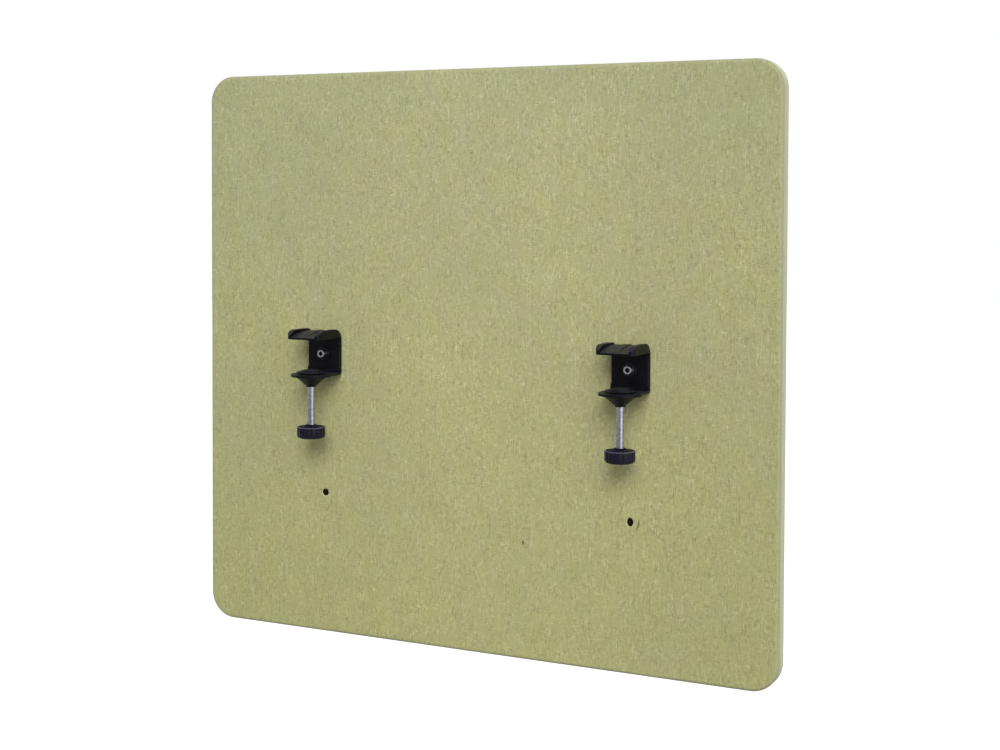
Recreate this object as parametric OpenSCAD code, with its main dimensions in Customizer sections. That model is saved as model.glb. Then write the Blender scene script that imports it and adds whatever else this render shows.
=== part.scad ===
// Desk divider screen: a fabric covered acoustic panel held by two screw clamps.
// X runs along the panel, the clamps reach towards -Y, and Z is up.
// The origin is on the desk's top edge, half way between the clamps: the clamps'
// upper jaws rest on the plane Z = 0 and their screw heads stop against Y = 0.

/* [Panel] */
// Width of the panel
panel_w = 650; // [500:5:1200]
// Height of the panel
panel_h = 600; // [480:5:900]
// Thickness of the panel over its fabric
panel_t = 20; // [20:0.5:40]
// Radius of the panel's corners
corner_r = 28; // [15:1:40]
// Rounding of the fabric over the panel's edges
edge_r = 4; // [2:0.5:6]
// Thickness of the fabric cover
fabric_t = 1; // [0.6:0.1:1.5]
// Thickness of the felt sheet under each face
felt_t = 2; // [1.6:0.1:3]
// Play between the fabric's edge wrap and the core frame
wrap_gap = 0.3; // [0.2:0.05:0.6]

/* [Core frame] */
// Height of the top and bottom rails
rail_h = 45; // [42:1:80]
// Width of the two outer stiles
stile_w = 45; // [30:1:60]
// Width of the battens that carry the threaded inserts
batten_w = 60; // [30:1:90]
// Diameter of the wooden dowels
dowel_d = 6; // [4:0.5:8]
// Length of the wooden dowels
dowel_l = 40; // [20:1:60]
// Gap between an infill pad and the frame round it
infill_gap = 0.5; // [0.2:0.1:2]

/* [Fixing points] */
// Distance between the two clamps
clamp_pitch = 350; // [250:5:400]
// Height of the clamp screws above the panel's lower edge
clamp_rise = 301; // [230:1:360]
// Height of the spare inserts above the panel's lower edge
spare_rise = 151; // [80:1:170]
// Nominal diameter of the fixing screws
fix_d = 5; // [4:0.5:6]
// Length of the fixing screws under the head
fix_l = 16; // [14:0.5:18]
// Diameter of the fixing screw's head
head_d = 8.5; // [8:0.1:11]
// Height of the fixing screw's head
head_h = 5; // [4:0.5:6]
// Width across the flats of the hexagon socket
socket_af = 4; // [3:0.5:5]
// Depth of the hexagon socket
socket_depth = 2.5; // [1.5:0.5:3.5]
// Outer diameter of the washer
washer_d = 15; // [11:0.5:17]
// Thickness of the washer
washer_t = 1.2; // [0.5:0.1:1.6]
// Outer diameter of the threaded insert
insert_d = 9; // [8:0.5:11]
// Length of the threaded insert's barrel
insert_l = 12; // [10:0.5:13]
// Diameter of the threaded insert's flange
insert_flange_d = 12; // [11.5:0.5:15]
// Thickness of the threaded insert's flange
insert_flange_t = 1.4; // [1:0.1:1.5]
// Diameter of the holes punched in the fabric
fabric_hole_d = 6; // [5.5:0.1:7]

/* [Clamp bracket] */
// Width of the bracket
clamp_w = 40; // [36:1:50]
// Thickness of the back plate
plate_t = 4; // [3:0.5:5]
// Reach of the upper jaw from the panel's face
jaw_reach = 46; // [42:1:56]
// Height of the side ribs at the jaw's front edge
rib_tip_h = 4.2; // [3.5:0.1:6.5]
// Height of the upper jaw between its ribs, at its front edge
web_tip_h = 2; // [1.6:0.1:3.4]
// Height of the upper jaw between its ribs, over the bend
web_h = 7.4; // [7:0.1:8]
// Height of the side ribs at their highest
rib_h = 9.4; // [8.5:0.1:12]
// Width of the side ribs
rib_w = 5; // [4:0.5:7]
// Height of the middle rib at its highest
mid_rib_h = 8.2; // [7.5:0.1:8.4]
// Width of the middle rib
mid_rib_w = 7; // [5:0.5:9]
// Radius of the bend above the back plate
bend_r = 13; // [11:0.5:15]
// Distance from the panel's face at which the ribs start to fall
rib_peak = 34; // [20:1:36]
// Radius of the upper jaw's front corners in plan
jaw_corner_r = 5; // [2:0.5:8]
// Depth from the desk plane to the top of the lower jaw
throat_h = 37.3; // [37.3:0.1:60]
// Thickness of the lower jaw
lower_t = 2.4; // [2.2:0.1:5]
// Depth of the fixing screws below the desk plane
bolt_drop = 17.5; // [16:0.5:20]
// Rounding where the back plate meets the lower jaw
heel_r = 4; // [2:0.5:4]
// Rounding of the back plate's side edges
plate_edge_r = 2.5; // [1:0.5:2.5]
// Distance of the clamp screw's axis from the panel's face
screw_reach = 28.5; // [28:0.5:32]
// Diameter of the lower jaw's round end
eye_d = 43; // [41:0.5:48]
// Diameter of the conical boss at the lower jaw
boss_d = 34; // [30:0.5:36]
// Depth of the boss's cone below the lower jaw
boss_h = 10; // [8:0.1:12]
// Diameter of the collar at the boss's tip
collar_d = 10.6; // [10.5:0.1:13]
// Length of the collar at the boss's tip
collar_l = 0.9; // [0.6:0.1:3]

/* [Clamp screw and pad] */
// Nominal diameter of the clamp screw
screw_d = 8; // [7:0.5:8]
// Radial clearance of turning fits
fit_gap = 0.05; // [0.02:0.01:0.1]
// Diameter of the ball on the screw's tip
ball_d = 6; // [5:0.5:6.5]
// Diameter of the neck under the ball
neck_d = 4; // [3:0.5:4.5]
// Outer diameter of the ball bush
bush_d = 9; // [8.5:0.5:9.5]
// Depth of the bush's flat end below the ball's centre
bush_drop = 2.6; // [2.2:0.1:2.8]
// Diameter of the pad
pad_d = 31; // [28:0.5:34]
// Thickness of the pad's rim
pad_rim_t = 1.2; // [1.2:0.1:3]
// Height of each of the two steps on the pad
pad_step_h = 0.8; // [0.6:0.1:1.2]
// Width of the pad's rim and of each step
pad_step_w = 2.8; // [2:0.2:3.2]
// Distance from the pad's underside at rest to the lower jaw
pad_lift = 1.2; // [1.2:0.1:2.5]
// Diameter of the hub under the pad
hub_d = 12.5; // [11.5:0.5:13.5]
// Diameter of the pocket that takes the hub
pocket_d = 15.5; // [15:0.5:17]
// Clearance under the hub at rest
hub_gap = 0.8; // [0.6:0.1:1.2]
// Thickness of the rubber facing
facing_t = 1.2; // [0.8:0.1:1.5]
// Diameter of the rubber facing
facing_d = 17; // [14:0.5:18]
// Skin of the pad over the ball socket
socket_skin = 1; // [0.8:0.1:1.4]
// Travel of the clamp screw
screw_travel = 32; // [20:1:32]

/* [Knob] */
// Diameter of the knob
knob_d = 30; // [26:0.5:36]
// Height of the knob's grip
knob_h = 12; // [9:0.5:16]
// Height of the cone over the grip
knob_cone_h = 1.8; // [1.2:0.1:4]
// Diameter of the stem on the cone
knob_stem_d = 11; // [10:0.5:14]
// Height of the stem
knob_stem_h = 0.6; // [0.5:0.1:3]
// Rounding of the knob's lower rim
knob_base_r = 3; // [1:0.5:3.5]
// Rounding of the knob's upper rim
knob_rim_r = 1.2; // [0.6:0.1:2]
// Number of grip flutes
flute_count = 12; // [8:1:16]
// Radius of each grip flute
flute_r = 5; // [3:0.5:6]
// Depth of each grip flute
flute_depth = 0.5; // [0.3:0.1:0.8]
// Clear length of screw left under the boss when the screw is wound right up
screw_clear = 8; // [4:0.5:20]
// Wall left in the knob under the end of the screw
knob_floor = 3; // [2:0.5:5]

/* [Hidden] */
$fn = 64;
// Facets of a rounded outline that is blended over its edges
blend_fn = 32;
// Points on a curved stretch of a rib
curve_steps = 14;
// Overrun of a cut past the face that it goes through
over = 1;
// Share of the fixing screw's diameter that its end chamfer takes
tip_share = 0.15;
// Share of the clamp screw's diameter that its end chamfers take
screw_tip_share = 0.12;

// Depths along Y, counted from the desk's edge
plate_y = head_h + washer_t;
face_y = plate_y + plate_t;
core_y = face_y + fabric_t + felt_t;
core_t = panel_t - 2 * (fabric_t + felt_t);
insert_y = core_y - insert_flange_t;

// Heights, counted from the desk plane
bolt_z = -bolt_drop;
bottom_z = bolt_z - clamp_rise;
middle_z = bottom_z + panel_h / 2;
spare_z = bottom_z + spare_rise;
lower_top_z = -throat_h;
lower_z = lower_top_z - lower_t;
collar_z = lower_z - boss_h - collar_l;
pad_z = lower_top_z + pad_lift;
pad_top_z = pad_z + pad_rim_t + 2 * pad_step_h;
facing_z = pad_top_z - facing_t + pad_step_h / 2;
ball_z = facing_z - socket_skin - bush_d / 2 - fit_gap;
hub_z = ball_z - bush_drop - fit_gap;
pocket_z = hub_z - hub_gap;
knob_top_z = collar_z - screw_travel - screw_clear;
cone_top_z = knob_top_z - knob_stem_h;
grip_top_z = cone_top_z - knob_cone_h;
knob_z = grip_top_z - knob_h;
shaft_top_z = pocket_z - fit_gap;
shaft_z = knob_z + knob_floor;

// Widths of the core frame
core_w = panel_w - 2 * (fabric_t + wrap_gap);
core_h = panel_h - 2 * (fabric_t + wrap_gap);
core_corner_r = corner_r - fabric_t - wrap_gap;
bay_h = core_h - 2 * rail_h;
dowel_r = dowel_d / 2;

// Flat shape drawn in X and Z, made t thick from y towards +Y
module board(y, t) {
    translate([0, y + t, 0])
        rotate([90, 0, 0])
            linear_extrude(height = t)
                children();
}

// Flat shape drawn in (distance from the panel, height), made w wide across X
module across(w) {
    translate([0, face_y, 0])
        rotate([0, 0, -90])
            rotate([90, 0, 0])
                linear_extrude(height = w, center = true)
                    children();
}

// Round hole or rod along Y
module along_y(x, y, z, d, l) {
    translate([x, y + l, z])
        rotate([90, 0, 0])
            cylinder(d = d, h = l);
}

module rounded_rect(w, h, r) {
    square([w - 2 * r, h], center = true);
    square([w, h - 2 * r], center = true);
    for (x = [-1, 1], z = [-1, 1])
        translate([x * (w / 2 - r), z * (h / 2 - r)])
            circle(r = r);
}

// Slab with round corners and rounded rims, centred on the panel
module soft_slab(w, h, t, r, rim, y) {
    translate([0, y + t / 2, middle_z])
        hull()
            for (x = [-1, 1], z = [-1, 1])
                translate([x * (w / 2 - r), 0, z * (h / 2 - r)])
                    rotate([90, 0, 0])
                        rotate_extrude($fn = blend_fn) {
                            translate([0, -t / 2])
                                square([r - rim, t]);
                            for (side = [-1, 1])
                                translate([r - rim, side * (t / 2 - rim)])
                                    intersection() {
                                        circle(r = rim, $fn = blend_fn);
                                        translate([0, -rim])
                                            square([rim, 2 * rim]);
                                    }
                        }
}

module at_clamps() {
    for (x = [-clamp_pitch / 2, clamp_pitch / 2])
        translate([x, 0, 0])
            children();
}

module core_outline() {
    translate([0, middle_z])
        rounded_rect(core_w, core_h, core_corner_r);
}

// Dowel holes or dowels between the rails and the uprights
module dowels(d, l) {
    for (x = [-upright_x(), -clamp_pitch / 2, clamp_pitch / 2, upright_x()], side = [-1, 1])
        translate([x, core_y + core_t / 2, middle_z + side * bay_h / 2])
            cylinder(d = d, h = l, center = true);
}

function upright_x() = core_w / 2 - stile_w / 2;

module rail(side) {
    color("burlywood")
        difference() {
            board(core_y, core_t)
                intersection() {
                    core_outline();
                    translate([0, middle_z + side * (core_h - rail_h) / 2])
                        square([core_w, rail_h], center = true);
                }
            dowels(dowel_d + 2 * fit_gap, dowel_l + 2 * fit_gap);
        }
}

module top_rail() {
    rail(1);
}

module bottom_rail() {
    rail(-1);
}

// Upright between the rails, with the holes for its dowels and inserts
module upright(x, w) {
    color("tan")
        difference() {
            board(core_y, core_t)
                translate([x, middle_z])
                    square([w, bay_h], center = true);
            dowels(dowel_d + 2 * fit_gap, dowel_l + 2 * fit_gap);
            at_clamps()
                for (z = [bolt_z, spare_z])
                    along_y(0, core_y - over, z, insert_d + 2 * fit_gap, insert_l + fit_gap + over);
        }
}

module left_stile() {
    upright(-upright_x(), stile_w);
}

module right_stile() {
    upright(upright_x(), stile_w);
}

module left_batten() {
    upright(-clamp_pitch / 2, batten_w);
}

module right_batten() {
    upright(clamp_pitch / 2, batten_w);
}

module frame_dowels() {
    color("wheat")
        dowels(dowel_d, dowel_l);
}

// Sound absorbing pad that fills the bay between two uprights
module infill(x0, x1) {
    color("gainsboro")
        board(core_y, core_t)
            translate([(x0 + x1) / 2, middle_z])
                square([x1 - x0 - 2 * infill_gap, bay_h - 2 * infill_gap], center = true);
}

module side_infill(side) {
    inner = clamp_pitch / 2 + batten_w / 2;
    outer = core_w / 2 - stile_w;
    if (side > 0)
        infill(inner, outer);
    else
        infill(-outer, -inner);
}

module left_infill() {
    side_infill(-1);
}

module centre_infill() {
    infill(-clamp_pitch / 2 + batten_w / 2, clamp_pitch / 2 - batten_w / 2);
}

module right_infill() {
    side_infill(1);
}

// Felt sheet that softens one face of the core
module felt(y) {
    color("whitesmoke")
        board(y, felt_t)
            translate([0, middle_z])
                rounded_rect(panel_w - 2 * edge_r, panel_h - 2 * edge_r, corner_r - edge_r);
}

module front_felt() {
    difference() {
        felt(face_y + fabric_t);
        at_clamps()
            for (z = [bolt_z, spare_z])
                along_y(0, face_y, z, insert_flange_d + 2 * wrap_gap, core_y - face_y + over);
    }
}

module rear_felt() {
    felt(core_y + core_t);
}

// Half of the fabric sleeve, from one face to the middle of the edges
module cover(y) {
    inner_t = panel_t - 2 * fabric_t;
    color([0.66, 0.66, 0.47])
        intersection() {
            difference() {
                soft_slab(panel_w, panel_h, panel_t, corner_r, edge_r, face_y);
                soft_slab(
                    panel_w - 2 * fabric_t, panel_h - 2 * fabric_t, inner_t,
                    corner_r - fabric_t, edge_r - fabric_t, face_y + fabric_t
                );
                at_clamps()
                    for (z = [bolt_z, spare_z])
                        along_y(0, face_y - over, z, fabric_hole_d, fabric_t + 2 * over);
            }
            translate([-panel_w / 2 - over, y, bottom_z - over])
                cube([panel_w + 2 * over, panel_t / 2, panel_h + 2 * over]);
        }
}

module front_cover() {
    cover(face_y);
}

module rear_cover() {
    cover(face_y + panel_t / 2);
}

// Flanged insert with the bore for a fixing screw
module insert(z) {
    color("darkgoldenrod")
        difference() {
            union() {
                along_y(0, core_y - fit_gap, z, insert_d, insert_l);
                along_y(0, insert_y, z, insert_flange_d, insert_flange_t);
            }
            along_y(0, insert_y - over, z, fix_d + 2 * fit_gap, insert_l + insert_flange_t + 2 * over);
        }
}

module clamp_inserts() {
    at_clamps()
        insert(bolt_z);
}

module spare_inserts() {
    at_clamps()
        insert(spare_z);
}

// Height of a rib's upper edge at distance u from the panel
function rib_top(u, top, tip, bend, peak) =
    u < bend ? top - bend + sqrt(max(0, bend * bend - (bend - u) * (bend - u)))
    : u < peak ? top
    : tip + (top - tip) * cos(90 * (u - peak) / (jaw_reach - peak));

// Side outline of a rib that rises over the bend and falls towards the jaw's tip
module rib_outline(top, tip, peak) {
    bend = bend_r * top / rib_h;
    polygon(concat(
        [for (i = [0:curve_steps])
            let (u = bend * (1 - cos(90 * i / curve_steps)))
                [u, rib_top(u, top, tip, bend, peak)]],
        [for (i = [0:curve_steps])
            let (u = peak + (jaw_reach - peak) * i / curve_steps)
                [u, rib_top(u, top, tip, bend, peak)]],
        [[jaw_reach, 0], [plate_t, 0], [plate_t, top - bend], [0, top - bend]]
    ));
}

module upper_jaw() {
    intersection() {
        union() {
            for (side = [-1, 1])
                translate([side * (clamp_w - rib_w) / 2, 0, 0])
                    across(rib_w)
                        rib_outline(rib_h, rib_tip_h, rib_peak);
            across(mid_rib_w)
                rib_outline(mid_rib_h, web_tip_h, bend_r);
            across(clamp_w - rib_w)
                rib_outline(web_h, web_tip_h, bend_r);
        }
        translate([0, 0, -bend_r])
            linear_extrude(height = bend_r + rib_h + over)
                jaw_plan(jaw_reach, jaw_corner_r);
    }
}

// Plan of a jaw from the panel's face to its rounded front corners
module jaw_plan(reach, r) {
    intersection() {
        translate([-clamp_w / 2, face_y - reach])
            square([clamp_w, reach]);
        union() {
            translate([-clamp_w / 2, face_y - reach + r])
                square([clamp_w, reach]);
            translate([-clamp_w / 2 + r, face_y - reach])
                square([clamp_w - 2 * r, reach]);
            for (side = [-1, 1])
                translate([side * (clamp_w / 2 - r), face_y - reach + r])
                    circle(r = r);
        }
    }
}

module back_plate() {
    translate([0, 0, lower_z + heel_r])
        linear_extrude(height = -lower_z - heel_r)
            jaw_plan(plate_t, plate_edge_r);
}

module lower_jaw() {
    difference() {
        union() {
            translate([0, 0, lower_z])
                linear_extrude(height = lower_t) {
                    translate([-clamp_w / 2, face_y - screw_reach])
                        square([clamp_w, screw_reach - heel_r]);
                    translate([0, face_y - screw_reach])
                        circle(d = eye_d);
                }
            across(clamp_w)
                translate([heel_r, lower_z + heel_r])
                    intersection() {
                        circle(r = heel_r);
                        translate([-heel_r, -heel_r])
                            square([heel_r, 2 * heel_r]);
                    }
            at_screw(collar_z)
                cylinder(d = collar_d, h = lower_top_z - collar_z);
            at_screw(lower_z - boss_h)
                cylinder(d1 = collar_d, d2 = boss_d, h = boss_h);
        }
        at_screw(pocket_z)
            cylinder(d = pocket_d, h = lower_top_z - pocket_z + over);
        at_screw(collar_z - over)
            cylinder(d = screw_d + 2 * fit_gap, h = pocket_z - collar_z + 2 * over);
    }
}

module at_screw(z) {
    translate([0, face_y - screw_reach, z])
        children();
}

module bracket() {
    color([0.09, 0.09, 0.09])
        difference() {
            union() {
                upper_jaw();
                back_plate();
                lower_jaw();
            }
            along_y(0, plate_y - over, bolt_z, fix_d + 4 * fit_gap, plate_t + 2 * over);
        }
}

module at_clamp(side) {
    translate([side * clamp_pitch / 2, 0, 0])
        children();
}

module left_bracket() {
    at_clamp(-1)
        bracket();
}

module right_bracket() {
    at_clamp(1)
        bracket();
}

module fixing_screws() {
    tip = fix_d * tip_share;
    color("silver")
        at_clamps()
            difference() {
                union() {
                    along_y(0, 0, bolt_z, head_d, head_h);
                    along_y(0, head_h, bolt_z, fix_d, fix_l - tip);
                    translate([0, head_h + fix_l, bolt_z])
                        rotate([90, 0, 0])
                            cylinder(d1 = fix_d - 2 * tip, d2 = fix_d, h = tip);
                }
                translate([0, socket_depth, bolt_z])
                    rotate([90, 0, 0])
                        cylinder(d = socket_af / cos(30), h = socket_depth + over, $fn = 6);
            }
}

module screw_washers() {
    color([0.2, 0.2, 0.2])
        at_clamps()
            difference() {
                along_y(0, head_h, bolt_z, washer_d, washer_t);
                along_y(0, head_h - over, bolt_z, fix_d + 4 * fit_gap, washer_t + 2 * over);
            }
}

// Nylon bush that is clipped over the ball and lets the pad tilt
module pad_bush() {
    color("ivory")
        at_screw(ball_z)
            difference() {
                sphere(d = bush_d);
                sphere(d = ball_d + 2 * fit_gap);
                translate([0, 0, -bush_d])
                    cylinder(d = neck_d + 2 * fit_gap, h = bush_d);
                translate([0, 0, -bush_d - bush_drop])
                    cylinder(d = 2 * bush_d, h = bush_d);
            }
}

module left_pad_bush() {
    at_clamp(-1)
        pad_bush();
}

module right_pad_bush() {
    at_clamp(1)
        pad_bush();
}

// Stepped pad with a hub that holds the ball bush and a recess for the facing
module pad() {
    color([0.1, 0.1, 0.11])
        difference() {
            union() {
                for (i = [0:2])
                    at_screw(pad_z)
                        cylinder(d = pad_d - 2 * i * pad_step_w, h = pad_rim_t + i * pad_step_h);
                at_screw(hub_z)
                    cylinder(d = hub_d, h = pad_z - hub_z + pad_rim_t);
            }
            at_screw(ball_z)
                sphere(d = bush_d + 2 * fit_gap);
            at_screw(facing_z)
                cylinder(d = facing_d + 2 * fit_gap, h = facing_t + over);
        }
}

module left_pad() {
    at_clamp(-1)
        pad();
}

module right_pad() {
    at_clamp(1)
        pad();
}

module pad_facing() {
    color([0.16, 0.16, 0.17])
        at_screw(facing_z)
            cylinder(d = facing_d, h = facing_t);
}

module left_pad_facing() {
    at_clamp(-1)
        pad_facing();
}

module right_pad_facing() {
    at_clamp(1)
        pad_facing();
}

// Clamp screw with its ball tip, drawn at the thread's outer diameter
module clamp_screw() {
    tip = screw_d * screw_tip_share;
    color("silver")
        at_screw(0) {
            translate([0, 0, ball_z])
                sphere(d = ball_d);
            translate([0, 0, shaft_top_z - tip])
                cylinder(d = neck_d, h = ball_z - shaft_top_z + tip);
            translate([0, 0, shaft_top_z - tip])
                cylinder(d1 = screw_d, d2 = screw_d - 2 * tip, h = tip);
            translate([0, 0, shaft_z])
                cylinder(d = screw_d, h = shaft_top_z - tip - shaft_z);
        }
}

module left_screw() {
    at_clamp(-1)
        clamp_screw();
}

module right_screw() {
    at_clamp(1)
        clamp_screw();
}

// Half section of the knob: rounded grip, cone and stem
module knob_section() {
    r = knob_d / 2;
    square([r - knob_base_r, knob_h - knob_rim_r]);
    translate([0, knob_base_r])
        square([r, knob_h - knob_base_r - knob_rim_r]);
    translate([r - knob_base_r, knob_base_r])
        circle(r = knob_base_r);
    translate([r - knob_rim_r, knob_h - knob_rim_r])
        circle(r = knob_rim_r);
    polygon([
        [0, knob_h - knob_rim_r], [r - knob_rim_r, knob_h - knob_rim_r], [r - knob_rim_r, knob_h],
        [knob_stem_d / 2, knob_h + knob_cone_h], [knob_stem_d / 2, knob_h + knob_cone_h + knob_stem_h],
        [0, knob_h + knob_cone_h + knob_stem_h]
    ]);
}

module knob() {
    color([0.13, 0.13, 0.15])
        at_screw(knob_z)
            difference() {
                rotate_extrude()
                    knob_section();
                for (i = [0:flute_count - 1])
                    rotate([0, 0, 360 * i / flute_count])
                        translate([knob_d / 2 + flute_r - flute_depth, 0, -over])
                            cylinder(r = flute_r, h = knob_h + 2 * over);
                translate([0, 0, knob_floor])
                    cylinder(d = screw_d + 2 * fit_gap, h = knob_top_z - knob_z);
            }
}

module left_knob() {
    at_clamp(-1)
        knob();
}

module right_knob() {
    at_clamp(1)
        knob();
}

top_rail();
bottom_rail();
left_stile();
right_stile();
left_batten();
right_batten();
frame_dowels();
left_infill();
centre_infill();
right_infill();
front_felt();
rear_felt();
front_cover();
rear_cover();
clamp_inserts();
spare_inserts();
left_bracket();
right_bracket();
fixing_screws();
screw_washers();
left_pad_bush();
right_pad_bush();
left_pad();
right_pad();
left_pad_facing();
right_pad_facing();
left_screw();
right_screw();
left_knob();
right_knob();
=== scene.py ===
import math
import random

import bmesh
import bpy
from mathutils import Matrix, Vector


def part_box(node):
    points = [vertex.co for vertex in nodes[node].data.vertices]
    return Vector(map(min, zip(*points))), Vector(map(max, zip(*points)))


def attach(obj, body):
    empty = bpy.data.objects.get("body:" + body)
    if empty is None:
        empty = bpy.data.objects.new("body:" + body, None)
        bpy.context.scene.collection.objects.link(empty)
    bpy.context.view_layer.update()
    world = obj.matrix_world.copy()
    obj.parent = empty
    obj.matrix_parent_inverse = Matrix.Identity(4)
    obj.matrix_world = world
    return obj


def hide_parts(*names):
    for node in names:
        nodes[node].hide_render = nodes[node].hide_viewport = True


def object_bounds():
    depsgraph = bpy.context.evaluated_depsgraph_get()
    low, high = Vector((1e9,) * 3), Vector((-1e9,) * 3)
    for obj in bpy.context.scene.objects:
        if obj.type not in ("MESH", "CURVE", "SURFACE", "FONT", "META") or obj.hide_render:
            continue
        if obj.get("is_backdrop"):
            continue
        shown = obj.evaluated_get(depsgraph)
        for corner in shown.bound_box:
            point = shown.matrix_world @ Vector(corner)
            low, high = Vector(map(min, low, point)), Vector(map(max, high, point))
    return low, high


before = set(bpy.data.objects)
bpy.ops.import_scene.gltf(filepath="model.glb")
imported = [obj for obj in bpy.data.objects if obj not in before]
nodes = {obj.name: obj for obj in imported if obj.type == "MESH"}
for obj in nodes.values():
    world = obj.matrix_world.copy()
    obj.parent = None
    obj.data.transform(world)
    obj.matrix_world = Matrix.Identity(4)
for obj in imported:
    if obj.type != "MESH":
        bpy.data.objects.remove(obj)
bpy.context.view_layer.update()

mm = 0.001

# ---- Core frame ----
# Two rails, two outer stiles and the two battens that the clamps are bolted to, of sawn spruce 14 mm thick, dowelled
# and glued. It lies under the felt and fabric, so the CAD's own boards stay and get their timber here.


def linear(colour):
    """Turns an sRGB hex colour into linear RGBA."""
    parts = [int(colour[i:i + 2], 16) / 255 for i in (1, 3, 5)]
    return tuple(c / 12.92 if c <= 0.04045 else ((c + 0.055) / 1.055) ** 2.4 for c in parts) + (1.0,)


def feed(material, node, inputs):
    """Gives a shader node its inputs: a value is written on the socket, a node or output is linked to it."""
    for name, value in inputs.items():
        if isinstance(name, int):
            socket = node.inputs[name]
        else:
            socket = next(s for s in node.inputs if s.enabled and s.name == name)
        if isinstance(value, bpy.types.Node):
            value = next(s for s in value.outputs if s.enabled)
        if isinstance(value, bpy.types.NodeSocket):
            material.node_tree.links.new(value, socket)
        else:
            socket.default_value = value


def add(material, kind, inputs=None, stops=(), **settings):
    """Adds one shader node with its settings, its inputs and, on a colour ramp, its stops."""
    node = material.node_tree.nodes.new("ShaderNode" + kind)
    for name, value in settings.items():
        setattr(node, name, value)
    feed(material, node, inputs or {})
    for i, (position, colour) in enumerate(stops):
        ramp = node.color_ramp.elements
        stop = ramp[i] if i < 2 else ramp.new(position)
        stop.position, stop.color = position, linear(colour)
    return node


def new_material(name, inputs):
    """Starts a material and sets what is the same all over on its shader's own sockets."""
    material = bpy.data.materials.new(name)
    material.use_nodes = True
    shader = material.node_tree.nodes["Principled BSDF"]
    feed(material, shader, inputs)
    return material, shader


def sawn_spruce(name, stretch):
    """Spruce, sawn and unplaned: pale early wood, yearly rings 3 mm apart, fibres drawn out along the grain."""
    wood, shader = new_material(name, {"Roughness": 0.75, "Specular IOR Level": 0.3})
    place = add(wood, "TexCoord")
    grain = add(wood, "Mapping", {"Vector": place.outputs["Object"], "Scale": stretch})
    # At a scale of 1 the diagonal bands lie tau / 10 apart.
    rings = add(wood, "TexWave", {"Vector": grain, "Scale": math.tau / 10 / (3 * mm), "Distortion": 6.0,
                                  "Detail": 2.0, "Detail Scale": 0.4}, bands_direction="DIAGONAL")
    fibre = add(wood, "TexNoise", {"Vector": grain, "Scale": 1 / (0.5 * mm), "Detail": 2.0})
    tone = add(wood, "Math", {0: rings, 1: 0.65, 2: 0.0}, operation="MULTIPLY_ADD")
    tone = add(wood, "Math", {0: fibre, 1: 0.35, 2: tone}, operation="MULTIPLY_ADD")
    colour = add(wood, "ValToRGB", {"Fac": tone}, [(0.2, "#E6D0A4"), (0.6, "#D9BC88"), (0.85, "#BC9359")])
    bump = add(wood, "Bump", {"Strength": 0.5, "Distance": 0.15 * mm, "Height": tone})
    feed(wood, shader, {"Base Color": colour, "Normal": bump})
    return wood


spruce_rails = sawn_spruce("sawn spruce, grain along the rails", (0.05, 1.0, 1.0))
spruce_uprights = sawn_spruce("sawn spruce, grain along the uprights", (1.0, 1.0, 0.05))
for board in ("top_rail", "bottom_rail"):
    nodes[board].material_slots[0].material = spruce_rails
for board in ("left_stile", "right_stile", "left_batten", "right_batten"):
    nodes[board].material_slots[0].material = spruce_uprights

# ---- Dowels ----
# Eight pins of beech, 6 x 40 mm, pressed through a fluting plate so that the glue can rise along them, with their
# ends chamfered. Each joins an upright to a rail.


def rounded(corners, bits=4):
    """Rounds the corners (radius, height, fillet) of a half section and gives its points."""
    points = []
    for i, (radius, height, fillet) in enumerate(corners):
        here = Vector((radius, height))
        if not fillet:
            points.append(tuple(here))
            continue
        back = (Vector(corners[i - 1][:2]) - here).normalized()
        on = (Vector(corners[(i + 1) % len(corners)][:2]) - here).normalized()
        reach = fillet / math.tan(back.angle(on) / 2)
        for k in range(bits + 1):
            t = k / bits
            points.append(tuple(here + back * reach * (1 - t) ** 2 + on * reach * t ** 2))
    return points


def turned(section, steps, ring=False):
    """Spins a half section in millimetres about the Z axis. A ring's section is a closed loop off the axis."""
    part = bmesh.new()
    line = [part.verts.new((radius * mm, 0, height * mm)) for radius, height in section]
    edges = [part.edges.new(pair) for pair in zip(line, line[1:] + line[:1] if ring else line[1:])]
    bmesh.ops.spin(part, geom=line + edges, axis=(0, 0, 1), cent=(0, 0, 0), angle=math.tau, steps=steps, use_merge=True)
    bmesh.ops.remove_doubles(part, verts=part.verts, dist=0.001 * mm)
    bmesh.ops.recalc_face_normals(part, faces=part.faces)
    return part


def reshape(part, new_radius):
    """Gives each point of a turned part the radius that new_radius(radius, turn, height) returns, all in mm."""
    for point in part.verts:
        radius = math.hypot(point.co.x, point.co.y)
        if radius > 0.001 * mm:
            turn = math.atan2(point.co.y, point.co.x)
            factor = new_radius(radius / mm, turn, point.co.z / mm) * mm / radius
            point.co.x *= factor
            point.co.y *= factor


def groove(turn, steps):
    """True at every other point round a part that was turned in that many steps."""
    return round(turn * steps / math.tau) % 2 == 1


def put(bm, part, *places):
    """Adds a copy of a part to a bmesh at each place, and frees the part."""
    pattern = bpy.data.meshes.new("pattern")
    part.to_mesh(pattern)
    part.free()
    for place in places:
        copy = pattern.copy()
        copy.transform(place)
        bm.from_mesh(copy)
        bpy.data.meshes.remove(copy)
    bpy.data.meshes.remove(pattern)


def make_piece(name, bm, material, body, replaced=(), sharp=40):
    """Makes a piece of a bmesh: smooth shaded, on its body, in place of its CAD nodes."""
    mesh = bpy.data.meshes.new(name)
    bm.to_mesh(mesh)
    bm.free()
    mesh.shade_smooth()
    mesh.set_sharp_from_angle(angle=math.radians(sharp))
    mesh.materials.append(material)
    piece = bpy.data.objects.new(name, mesh)
    bpy.context.scene.collection.objects.link(piece)
    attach(piece, body)
    if replaced:
        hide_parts(*replaced)
    return piece


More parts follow.
